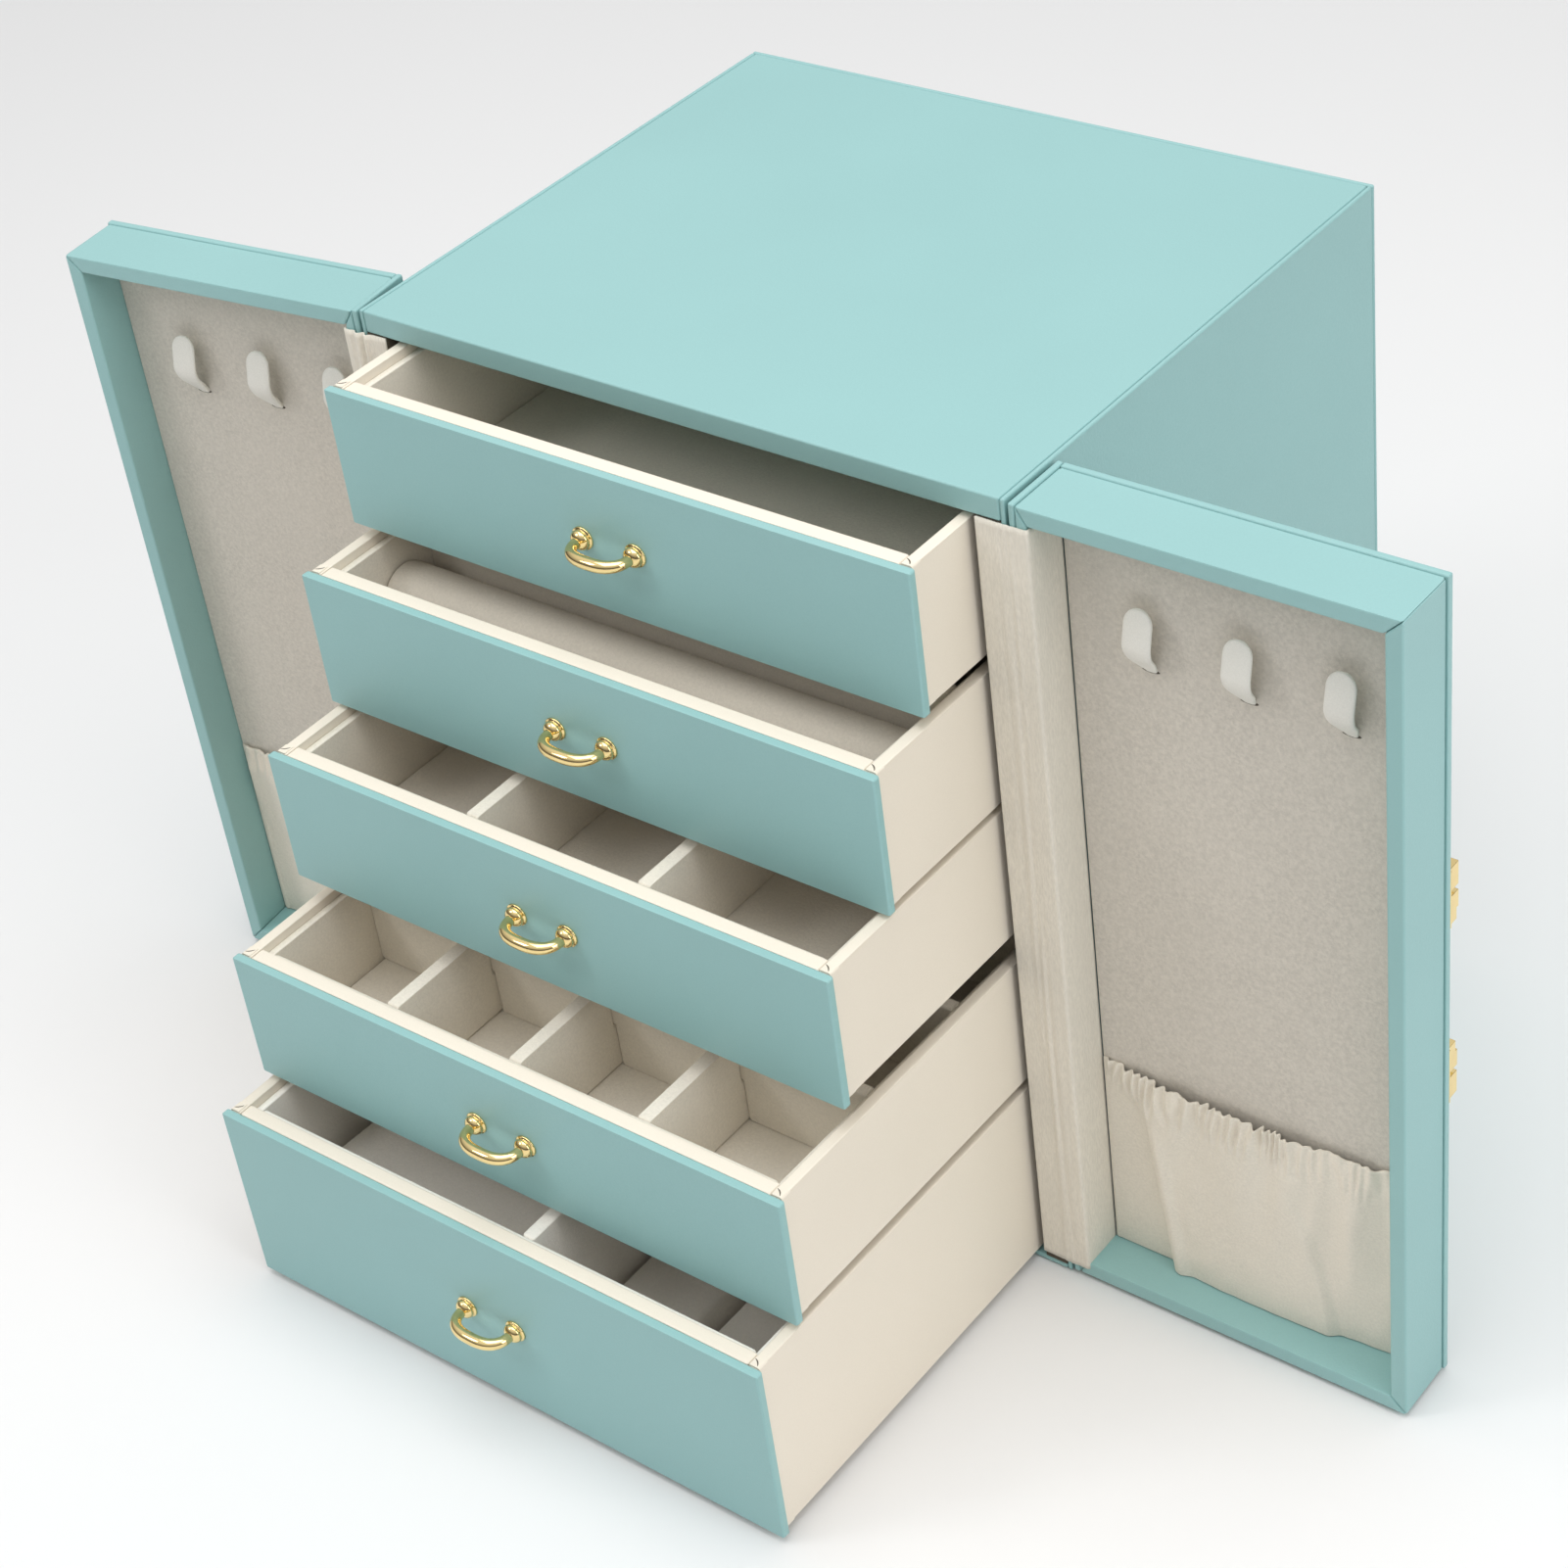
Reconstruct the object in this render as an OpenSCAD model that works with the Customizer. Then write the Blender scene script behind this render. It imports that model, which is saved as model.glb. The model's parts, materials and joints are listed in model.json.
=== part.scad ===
// Jewelry box: a leather-covered cabinet with five drawers behind two tray doors, shown open.
// X runs to the right, Y to the back and Z up. The origin is the middle of the underside.
// A door is drawn in its own frame: the hinge axis is at x = 0, y = 0, the door runs along +X
// when it lies flat beside the cabinet, and +Y is its outer face.

/* [Cabinet] */
// Width over the side covers
cab_w = 250; // [240:1:264]
// Depth over the back cover
cab_d = 208; // [206:1:230]
// Height
cab_h = 303; // [303:1:306]
// Thickness of the two side boards
side_t = 8.6; // [8:0.1:9]
// Thickness of the top board
top_t = 8; // [7.5:0.1:8.5]
// Thickness of the base board
base_t = 2; // [1.6:0.1:2.2]
// Thickness of the back board
back_t = 2.6; // [2:0.1:3]
// Thickness of the leather-wrapped cover sheets on the sides and the back
skin_t = 1.6; // [1.2:0.1:2]
// Thickness of each shelf
shelf_t = 2; // [1.5:0.1:2]

/* [Drawers] */
// How far each drawer is pulled out, from the top drawer to the bottom one
pulls = [31, 57, 88, 122.5, 143.5];
// Height of each drawer's lower edge, from the top drawer to the bottom one
drawer_zs = [243.5, 189, 137.6, 77.5, 2.6];
// Height of the front of the upper four drawers
drawer_h = 49.5; // [48.5:0.1:49.5]
// Height of the front of the bottom drawer
deep_drawer_h = 72; // [70:0.5:72]
// Depth of a drawer from its front face to its back
drawer_d = 199; // [180:1:199]
// Width of a drawer front
front_w = 227.6; // [226:0.2:228.6]
// Thickness of a drawer front
front_t = 3.2; // [3:0.1:3.6]
// Width of the box behind a drawer front
box_w = 224.2; // [222:0.2:225]
// Thickness of the outer boards of a drawer
wall_t = 4; // [3.5:0.1:4.5]
// Thickness of the outer board behind a drawer front
front_wall_t = 5.2; // [4:0.1:5.5]
// Thickness of the lining boards inside a drawer
liner_t = 2.8; // [2.4:0.1:3]
// Thickness of the dividers
divider_t = 5; // [3:0.1:6]

/* [Doors] */
// Angle the left door is open
left_angle = 173; // [120:1:180]
// Angle the right door is open
right_angle = 180; // [120:1:180]
// Width of a door
door_w = 124.5; // [119:0.5:124.5]
// Thickness of a door
door_t = 25.8; // [25:0.1:27]
// Thickness of a door's outer cover board
cover_t = 2.5; // [2:0.1:3]
// Depth from the door's rim to its lining
tray_d = 16; // [15:0.5:17]
// Thickness of the tray boards, except the one at the hinge
rim_t = 5.6; // [5:0.1:6]

/* [Handles, hooks and clasps] */
// Distance between the two feet of a handle
handle_pitch = 20.8; // [19:0.1:23]
// How far the centre of a handle's feet stands off the drawer front
handle_reach = 3.4; // [3.2:0.1:4]
// Diameter of a handle's bar
bar_d = 4; // [3.2:0.1:4.2]
// Width of a necklace hook
hook_w = 9.6; // [8:0.1:11]
// Height of a necklace hook
hook_h = 26; // [24:0.5:28]
// Height of the pocket at the bottom of a door
pocket_h = 80; // [60:1:90]

/* [Hidden] */
$fn = 48;
seam = 0.1;           // glue line between boards of one sub-part
slack = 0.5;          // play under a drawer and in front of a closed one
front_y = -cab_d/2;
back_y = cab_d/2;
skin_x = cab_w/2 - skin_t;
inner_x = skin_x - side_t;
board_back = back_y - skin_t - back_t;
ceiling = cab_h - top_t;

box_lift = 1;         // a drawer's box starts this much above its front's lower edge
liner_drop = 3;       // linings and dividers end this much below the box's edge
shelf_inset = 5;      // shelves start behind the closed drawer fronts
box_front = front_t + front_wall_t + liner_t;
box_back = drawer_d - wall_t - liner_t;
liner_x = box_w/2 - wall_t - seam - liner_t;
floor_t = 3;
floors = [6, 6, 12, 13, 6];    // height of each lined floor above the front's lower edge

function drawer_z(k) = drawer_zs[k - 1];
function drawer_height(k) = k < 5 ? drawer_h : deep_drawer_h;
function drawer_top(k) = drawer_z(k) + drawer_height(k);
function face_y(k) = front_y - pulls[k - 1];
function floor_z(k) = drawer_z(k) + floors[k - 1];
function liner_top(k) = drawer_top(k) - liner_drop;

strip_t = 0.8;        // hinge cloth
fold_gap = 0.15;      // from the hinge cloth to the hinge axis
axis_x = cab_w/2 + 0.4;
axis_y = front_y - strip_t - fold_gap;
rim_y = strip_t + fold_gap;
door_lo = 1;
door_hi = cab_h - 0.7;
door_x0 = 0.6;
door_x1 = door_x0 + door_w;
spine_t = 2.2;
hinge_rim_t = 3.6;
edge_step = 0.6;      // the outer board overhangs the tray by this much
tray_x0 = door_x0 + spine_t + seam;
tray_x1 = door_x1 - edge_step;
tray_lo = door_lo + edge_step;
tray_hi = door_hi - edge_step;
tray_y1 = rim_y + door_t - cover_t - seam;
lining_x0 = tray_x0 + hinge_rim_t + seam + strip_t + seam;
lining_x1 = tray_x1 - rim_t - seam;
lining_lo = tray_lo + rim_t + seam;
lining_hi = tray_hi - rim_t - seam;
lining_y = rim_y + tray_d;
outer_y = rim_y + door_t;
strip_lo = 5;
strip_hi = ceiling;

cell_cols = 4;
cell_rows = 4;
roll_r = 11.5;
roll_y = 34.5;
roll_top = 12.5;      // from the drawer's edge down to the top of the roll
partition_y = 48.4;
deep_divider_x = 12.5;
pad_play = 0.4;
left_pad_drop = 32;   // from the drawer's edge down to the wide pad
right_pad_drop = 45;  // from the drawer's edge down to the two narrow pads
pad_split_x = 54;

hook_xs = [34.7, 67.2, 99.7];   // on the right door; the left one has the same lining, unmirrored
hook_t = 1.6;
hook_reach = 7.6;
hook_base_z = 245.5;
hook_rise = 10;
pocket_t = 1.2;
pocket_gap = 6.6;
pocket_x0 = lining_x0 + 0.5;
pocket_x1 = lining_x1 - 0.5;

clasp_zs = [191.5, 122.5];
clasp_x = door_x1 - 4;
lug_w = 6;
lug_h = 5.4;
plate_t = 0.8;
plate_w = 7.6;
slot_h = 1.8;
short_lug = 8.6;
tall_lug = 10.4;
lug_step = 4;
hinge_pin_d = 1.6;
pin_bore = 2.1;
arm_h = 1.2;
arm_len = 15;
knob_d = 3.2;
pin_rise = 3.4;       // from the plate's face to the clasp's pin
pin_y = outer_y + plate_t + pin_rise;

// A board between two opposite corners
module board(from, to) {
    translate(from) cube(to - from);
}

// ---- cabinet ----

module cabinet_top() {
    color("paleturquoise")
        board([-skin_x + seam, front_y, ceiling + seam], [skin_x - seam, back_y - skin_t - seam, cab_h]);
}

module cabinet_base() {
    color("cadetblue")
        board([-skin_x + seam, front_y, 0], [skin_x - seam, board_back - seam, base_t]);
}

// side is -1 for the left and 1 for the right
module cabinet_side(side) {
    middle = side*(inner_x + skin_x)/2;
    color("burlywood")
        board([middle - side_t/2 + seam, front_y, base_t + seam],
              [middle + side_t/2 - seam, board_back - seam, ceiling]);
}

module cabinet_back() {
    color("tan")
        board([-skin_x + seam, board_back, 0], [skin_x - seam, board_back + back_t - seam, ceiling]);
}

module side_cover(side) {
    middle = side*(skin_x + skin_t/2);
    color("mediumturquoise")
        board([middle - skin_t/2, front_y, 0], [middle + skin_t/2, back_y - skin_t - seam, cab_h]);
}

module back_cover() {
    color("mediumturquoise")
        board([-cab_w/2, back_y - skin_t, 0], [cab_w/2, back_y, cab_h]);
}

// The shelf under drawer k
module shelf(k) {
    top = drawer_z(k) + box_lift - slack;
    color("dimgray")
        board([-inner_x + seam, front_y + shelf_inset, top - shelf_t],
              [inner_x - seam, board_back - seam, top]);
}

module hinge_cloth_fixed(side) {
    color("antiquewhite")
        board([min(side*inner_x, side*axis_x) + (side < 0 ? seam : 0), front_y - strip_t, strip_lo],
              [max(side*inner_x, side*axis_x) - (side < 0 ? 0 : seam), front_y - seam/2, strip_hi]);
}

// ---- drawers ----

// Places drawer parts: y = 0 is the front face of drawer k
module at_drawer(k) {
    translate([0, face_y(k), 0]) children();
}

module drawer_front(k) {
    color("mediumaquamarine") at_drawer(k)
        board([-front_w/2, 0, drawer_z(k)], [front_w/2, front_t - seam, drawer_top(k)]);
}

// Four walls and a floor, as five boards: x1 is half the width, y0 to y1 the depth,
// t the thickness of the walls and front the thickness of the one at y0
module open_box(x1, y0, y1, z0, z1, t, front, floor_h) {
    for (side = [-1, 1])
        board([side*(x1 - t/2) - t/2, y0, z0], [side*(x1 - t/2) + t/2, y1, z1]);
    board([-x1 + t + seam, y0, z0], [x1 - t - seam, y0 + front, z1]);
    board([-x1 + t + seam, y1 - t, z0], [x1 - t - seam, y1, z1]);
    board([-x1 + t + seam, y0 + front + seam, z0], [x1 - t - seam, y1 - t - seam, z0 + floor_h]);
}

module drawer_box(k) {
    color("linen") at_drawer(k)
        open_box(box_w/2, front_t, drawer_d, drawer_z(k) + box_lift, drawer_top(k),
                 wall_t, front_wall_t, floor_t);
}

module drawer_lining(k) {
    base = drawer_z(k) + box_lift + floor_t + seam;
    color("silver") at_drawer(k)
        open_box(liner_x + liner_t, front_t + front_wall_t + seam, drawer_d - wall_t - seam,
                 base, liner_top(k), liner_t, liner_t, floor_z(k) - base);
}

// A divider board that stands on the lined floor of drawer k
module upright(k, from, to) {
    board([from[0], from[1], floor_z(k) + seam], [to[0], to[1], liner_top(k)]);
}

module drawer_2_partition() {
    color("gainsboro") at_drawer(2)
        upright(2, [-liner_x + seam, partition_y], [liner_x - seam, partition_y + divider_t]);
}

// Rounded bar across the drawer, for bracelets
module drawer_2_roll() {
    top = drawer_top(2) - roll_top;
    color("darkgray") at_drawer(2) {
        translate([-liner_x + pad_play, roll_y, top - roll_r]) rotate([0, 90, 0])
            cylinder(r = roll_r, h = 2*(liner_x - pad_play));
        board([-liner_x + pad_play, roll_y - roll_r, floor_z(2) + pad_play],
              [liner_x - pad_play, roll_y + roll_r, top - roll_r]);
    }
}

module drawer_3_dividers() {
    color("gainsboro") at_drawer(3)
        for (x = [-1, 1]*liner_x/3)
            upright(3, [x - divider_t/2, box_front + 2*seam], [x + divider_t/2, box_back - 2*seam]);
}

function cell_x(i) = -liner_x + i*2*liner_x/cell_cols;
function cell_y(i) = box_front + i*(box_back - box_front)/cell_rows;

// Long dividers carry slots in their upper half, cross dividers in their lower half
module drawer_4_long_dividers() {
    middle_z = (floor_z(4) + liner_top(4))/2;
    color("gainsboro") at_drawer(4)
        for (i = [1:cell_cols - 1]) difference() {
            upright(4, [cell_x(i) - divider_t/2, box_front + 2*seam],
                       [cell_x(i) + divider_t/2, box_back - 2*seam]);
            for (j = [1:cell_rows - 1])
                board([cell_x(i) - divider_t, cell_y(j) - divider_t/2 - seam, middle_z],
                      [cell_x(i) + divider_t, cell_y(j) + divider_t/2 + seam, liner_top(4) + 1]);
        }
}

module drawer_4_cross_dividers() {
    middle_z = (floor_z(4) + liner_top(4))/2;
    color("lightgray") at_drawer(4)
        for (j = [1:cell_rows - 1]) difference() {
            upright(4, [-liner_x + seam, cell_y(j) - divider_t/2],
                       [liner_x - seam, cell_y(j) + divider_t/2]);
            for (i = [1:cell_cols - 1])
                board([cell_x(i) - divider_t/2 - seam, cell_y(j) - divider_t, floor_z(4)],
                      [cell_x(i) + divider_t/2 + seam, cell_y(j) + divider_t, middle_z + seam]);
        }
}

module drawer_5_divider() {
    color("gainsboro") at_drawer(5)
        upright(5, [deep_divider_x - divider_t/2, box_front + 2*seam],
                   [deep_divider_x + divider_t/2, box_back - 2*seam]);
}

// A cushion that lies on the floor of the bottom drawer, from x0 to x1
module floor_pad(x0, x1, drop) {
    board([x0 + pad_play, box_front + pad_play, floor_z(5) + pad_play],
          [x1 - pad_play, box_back - pad_play, drawer_top(5) - drop]);
}

module drawer_5_wide_pad() {
    color("darkgray") at_drawer(5)
        floor_pad(-liner_x, deep_divider_x - divider_t/2, left_pad_drop);
}

module drawer_5_narrow_pads() {
    color("darkgray") at_drawer(5) {
        floor_pad(deep_divider_x + divider_t/2, pad_split_x, right_pad_drop);
        floor_pad(pad_split_x, liner_x, right_pad_drop);
    }
}

// Cast handle: two flanged feet with ball ends and a bar that bows out between them
module handle() {
    flange_d = 8;
    ball_d = 6.2;
    neck_d = 4.4;
    bow = 7.2;
    bow_r = (pow(handle_pitch/2, 2) + bow*bow)/(2*bow);
    bow_angle = asin(handle_pitch/2/bow_r);
    for (side = [-1, 1]) translate([side*handle_pitch/2, 0, 0]) {
        rotate([90, 0, 0]) cylinder(d = flange_d, h = 1.1);
        rotate([90, 0, 0]) cylinder(d = neck_d, h = handle_reach);
        translate([0, -handle_reach, 0]) sphere(d = ball_d);
    }
    translate([0, bow_r - bow - handle_reach, 0]) rotate([0, 0, -90 - bow_angle])
        rotate_extrude(angle = 2*bow_angle) translate([bow_r, 0]) circle(d = bar_d);
}

module drawer_handle(k) {
    color("gold") at_drawer(k)
        translate([0, 0, drawer_z(k) + drawer_height(k)/2]) handle();
}

// ---- doors ----

// Places door parts: the right door is drawn as it is, the left one is its mirror image
module at_door(side) {
    angle = side < 0 ? left_angle : right_angle;
    mirror([side < 0 ? 1 : 0, 0, 0])
        translate([axis_x, axis_y, 0]) rotate([0, 0, angle - 180]) children();
}

// Four mitred boards round the door
module door_tray(side) {
    outer = [[tray_x0, tray_lo], [tray_x1, tray_lo], [tray_x1, tray_hi], [tray_x0, tray_hi]];
    inner = [[tray_x0 + hinge_rim_t, tray_lo + rim_t], [tray_x1 - rim_t, tray_lo + rim_t],
             [tray_x1 - rim_t, tray_hi - rim_t], [tray_x0 + hinge_rim_t, tray_hi - rim_t]];
    color("mediumaquamarine") at_door(side)
        translate([0, tray_y1, 0]) rotate([90, 0, 0])
            linear_extrude(tray_y1 - rim_y) for (i = [0:3]) offset_board(outer, inner, i);
}

// Board i of a mitred frame, pulled in by half a glue line at each mitre
module offset_board(outer, inner, i) {
    j = (i + 1) % 4;
    along = (outer[j] - outer[i])/norm(outer[j] - outer[i])*seam/2;
    polygon([outer[i] + along, outer[j] - along, inner[j] - along, inner[i] + along]);
}

module door_cover(side) {
    color("mediumturquoise") at_door(side)
        board([door_x0 + spine_t + seam, outer_y - cover_t, door_lo], [door_x1, outer_y, door_hi]);
}

module door_spine(side) {
    color("turquoise") at_door(side)
        board([door_x0, rim_y, door_lo], [door_x0 + spine_t, outer_y, door_hi]);
}

module door_lining(side) {
    color("silver") at_door(side)
        board([lining_x0, lining_y, lining_lo], [lining_x1, tray_y1, lining_hi]);
}

// The flap on the rim and the flap down the inside of the tray are two solids that meet at an edge
module hinge_cloth_moving(side) {
    rim_x1 = tray_x0 + hinge_rim_t + strip_t + seam;
    color("antiquewhite") at_door(side) {
        board([seam/2, rim_y - strip_t, strip_lo], [rim_x1, rim_y - seam/2, tray_hi - rim_t - seam]);
        board([rim_x1 - strip_t, rim_y, tray_lo + rim_t + seam],
              [rim_x1, tray_y1 - seam, tray_hi - rim_t - seam]);
    }
}

// One hook: a tab slants up out of the lining, then stands up with a round end
module hook() {
    tab_top = hook_h - hook_w/2;
    translate([-hook_w/2, 0, 0]) rotate([90, 0, 90]) linear_extrude(hook_w)
        polygon([[0, 0], [-hook_reach, hook_rise], [-hook_reach, tab_top],
                 [-hook_reach + hook_t, tab_top], [-hook_reach + hook_t, hook_rise + 0.9], [0, 2]]);
    translate([0, -hook_reach + hook_t, tab_top]) rotate([90, 0, 0])
        cylinder(d = hook_w, h = hook_t);
}

module door_hooks(side) {
    color("whitesmoke") at_door(side)
        for (x = hook_xs)
            translate([side > 0 ? x : lining_x0 + lining_x1 - x, lining_y - seam, hook_base_z]) hook();
}

// The pocket's cloth, held off the lining so that it can take things
module door_pocket(side) {
    front = lining_y - seam - pocket_gap - pocket_t;
    lo = lining_lo + seam;
    hi = lining_lo + pocket_h;
    color("oldlace") at_door(side) {
        board([pocket_x0, front, lo], [pocket_x1, front + pocket_t, hi]);
        for (x = [pocket_x0, pocket_x1 - pocket_t])
            board([x, front + pocket_t + seam, lo], [x + pocket_t, lining_y - seam, hi]);
        board([pocket_x0 + pocket_t + seam, front + pocket_t + seam, lo],
              [pocket_x1 - pocket_t - seam, lining_y - seam, lo + pocket_t]);
    }
}

// ---- clasps ----

// A plate with two lugs; up is 1 where the stepped lug is the lower one, -1 where it is the upper
module clasp_half(up) {
    top = slot_h/2 + short_lug;
    bottom = -slot_h/2 - tall_lug;
    mirror([0, 0, up < 0 ? 1 : 0]) {
        board([-plate_w/2, seam, bottom], [plate_w/2, plate_t, top]);
        board([-lug_w/2, plate_t - seam, slot_h/2], [lug_w/2, plate_t + lug_h, top]);
        board([-lug_w/2, plate_t - seam, bottom + lug_step],
              [lug_w/2, plate_t + lug_h, -slot_h/2]);
        board([-lug_w/2, plate_t - seam, bottom], [lug_w/2, plate_t + lug_h - 0.9, bottom + lug_step]);
    }
}

module right_clasp_plates() {
    color("goldenrod") at_door(1)
        for (i = [0, 1]) translate([clasp_x, outer_y, clasp_zs[i]]) clasp_half(i == 0 ? 1 : -1);
}

module left_clasp_plates() {
    color("goldenrod") at_door(-1)
        for (i = [0, 1]) translate([clasp_x, outer_y, clasp_zs[i]]) {
            clasp_half(i == 0 ? 1 : -1);
            translate([0, plate_t + pin_rise, -slot_h/2 - 1]) cylinder(d = hinge_pin_d, h = slot_h + 2);
        }
}

// The hook folds over on a pin between the lugs and drops between the other door's lugs
module clasp_hook(z) {
    color("darkgoldenrod") at_door(-1) translate([clasp_x, pin_y, z]) {
        difference() {
            union() {
                translate([0, 0, -arm_h/2]) cylinder(d = 3.6, h = arm_h);
                board([-arm_len, -0.8, -arm_h/2], [0, 0.8, arm_h/2]);
            }
            translate([0, 0, -arm_h]) cylinder(d = pin_bore, h = 2*arm_h);
        }
        translate([-arm_len, 0, 0]) sphere(d = knob_d);
    }
}

cabinet_top();
cabinet_base();
cabinet_side(-1);  // cabinet_left_side
cabinet_side(1);  // cabinet_right_side
cabinet_back();
side_cover(-1);  // left_side_cover
side_cover(1);  // right_side_cover
back_cover();
shelf(1);  // shelf_1
shelf(2);  // shelf_2
shelf(3);  // shelf_3
shelf(4);  // shelf_4
hinge_cloth_fixed(-1);  // left_hinge_cloth_fixed
hinge_cloth_fixed(1);  // right_hinge_cloth_fixed
drawer_front(1);  // drawer_1_front
drawer_box(1);  // drawer_1_box
drawer_lining(1);  // drawer_1_lining
drawer_handle(1);  // drawer_1_handle
drawer_front(2);  // drawer_2_front
drawer_box(2);  // drawer_2_box
drawer_lining(2);  // drawer_2_lining
drawer_handle(2);  // drawer_2_handle
drawer_2_roll();
drawer_2_partition();
drawer_front(3);  // drawer_3_front
drawer_box(3);  // drawer_3_box
drawer_lining(3);  // drawer_3_lining
drawer_handle(3);  // drawer_3_handle
drawer_3_dividers();
drawer_front(4);  // drawer_4_front
drawer_box(4);  // drawer_4_box
drawer_lining(4);  // drawer_4_lining
drawer_handle(4);  // drawer_4_handle
drawer_4_long_dividers();
drawer_4_cross_dividers();
drawer_front(5);  // drawer_5_front
drawer_box(5);  // drawer_5_box
drawer_lining(5);  // drawer_5_lining
drawer_handle(5);  // drawer_5_handle
drawer_5_divider();
drawer_5_wide_pad();
drawer_5_narrow_pads();
door_tray(-1);  // left_door_tray
door_cover(-1);  // left_door_cover
door_spine(-1);  // left_door_spine
door_lining(-1);  // left_door_lining
door_hooks(-1);  // left_door_hooks
door_pocket(-1);  // left_door_pocket
hinge_cloth_moving(-1);  // left_hinge_cloth_moving
door_tray(1);  // right_door_tray
door_cover(1);  // right_door_cover
door_spine(1);  // right_door_spine
door_lining(1);  // right_door_lining
door_hooks(1);  // right_door_hooks
door_pocket(1);  // right_door_pocket
hinge_cloth_moving(1);  // right_hinge_cloth_moving
left_clasp_plates();
right_clasp_plates();
clasp_hook(clasp_zs[0]);  // upper_clasp_hook
clasp_hook(clasp_zs[1]);  // lower_clasp_hook
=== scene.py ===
"""Looks for the jewelry box: leather, suede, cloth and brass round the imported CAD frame."""
import json
import math

import bmesh
import bpy
import numpy as np
from mathutils import Matrix, Vector, noise


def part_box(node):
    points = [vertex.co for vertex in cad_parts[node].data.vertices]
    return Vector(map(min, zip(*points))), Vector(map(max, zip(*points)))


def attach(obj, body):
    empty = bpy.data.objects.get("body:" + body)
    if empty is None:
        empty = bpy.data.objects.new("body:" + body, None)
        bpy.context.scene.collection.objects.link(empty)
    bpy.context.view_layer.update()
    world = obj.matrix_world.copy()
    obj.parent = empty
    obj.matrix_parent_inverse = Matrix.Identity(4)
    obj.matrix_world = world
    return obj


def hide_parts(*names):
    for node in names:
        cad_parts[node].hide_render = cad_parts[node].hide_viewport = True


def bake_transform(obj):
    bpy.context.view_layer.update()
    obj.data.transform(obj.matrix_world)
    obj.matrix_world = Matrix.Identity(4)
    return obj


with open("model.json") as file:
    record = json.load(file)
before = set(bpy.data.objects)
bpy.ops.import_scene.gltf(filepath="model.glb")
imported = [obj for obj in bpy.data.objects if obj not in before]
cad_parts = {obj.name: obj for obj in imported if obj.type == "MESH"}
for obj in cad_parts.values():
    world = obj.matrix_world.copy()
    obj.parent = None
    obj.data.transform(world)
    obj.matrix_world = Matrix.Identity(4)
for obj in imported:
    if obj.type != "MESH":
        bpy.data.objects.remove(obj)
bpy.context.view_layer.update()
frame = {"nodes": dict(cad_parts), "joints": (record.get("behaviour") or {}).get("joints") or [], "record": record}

MM = 0.001
DRAWERS = (1, 2, 3, 4, 5)
SIDES = {"left": -1, "right": 1}
NODES = frame["nodes"]
JOINTS = {joint["name"]: joint for joint in frame["joints"]}


def mm_box(node):
    """Lowest and highest corner of a CAD node, in millimetres."""
    low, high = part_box(node)
    return Vector(low) / MM, Vector(high) / MM


# ---------------------------------------------------------------- camera, light and floor

# The camera comes from fitting the box's corners; lengths are millimetres.
CAMERA_PLACE = Vector((593.8, -723.7, 788.3))
CAMERA_AIM = Vector((-0.54236, 0.59393, -0.59422))
CAMERA_UP = Vector((-0.29038, 0.53117, 0.79595))
CAMERA_LENS = 75.16
CAMERA_SENSOR = 36.0


def make_camera():
    data = bpy.data.cameras.new("camera")
    data.lens = CAMERA_LENS
    data.sensor_width = CAMERA_SENSOR
    camera = bpy.data.objects.new("camera", data)
    bpy.context.scene.collection.objects.link(camera)
    forward = CAMERA_AIM.normalized()
    right = forward.cross(CAMERA_UP).normalized()
    up = right.cross(forward)
    turn = Matrix((right, up, -forward)).transposed().to_4x4()
    camera.matrix_world = Matrix.Translation(CAMERA_PLACE * MM) @ turn
    bpy.context.scene.camera = camera


LIGHT_TARGET = (0.0, -0.12, 0.15)
# name, place in metres, size in metres, power in watts
AREA_LIGHTS = (
    ("soft_top", (0.1, -0.25, 1.7), (1.4, 1.4), 14.0),
    ("soft_right", (1.7, -0.2, 0.9), (0.9, 1.1), 9.0),
    ("soft_left", (-1.0, -1.3, 1.5), (0.5, 0.5), 5.0),
)
# Strength of the sky at and under the first height, and at and above the second;
# heights are sines of the angle over the horizon.
SKY_LOW, SKY_LOW_HEIGHT = 0.11, 0.12
SKY_HIGH, SKY_HIGH_HEIGHT = 0.86, 0.75
FLOOR_HALF = 4.0      # metres
FLOOR_DROP = 0.0004   # metres under the box, so the two faces don't flicker
FLOOR_COLOUR = (0.80, 0.80, 0.80, 1.0)
FLOOR_ROUGHNESS = 0.9


def area_light(name, place, size, power):
    data = bpy.data.lights.new(name, "AREA")
    data.shape = "RECTANGLE"
    data.size, data.size_y = size
    data.energy = power
    light = bpy.data.objects.new(name, data)
    bpy.context.scene.collection.objects.link(light)
    light.location = place
    aim = Vector(LIGHT_TARGET) - Vector(place)
    light.rotation_euler = aim.to_track_quat("-Z", "Y").to_euler()


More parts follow.
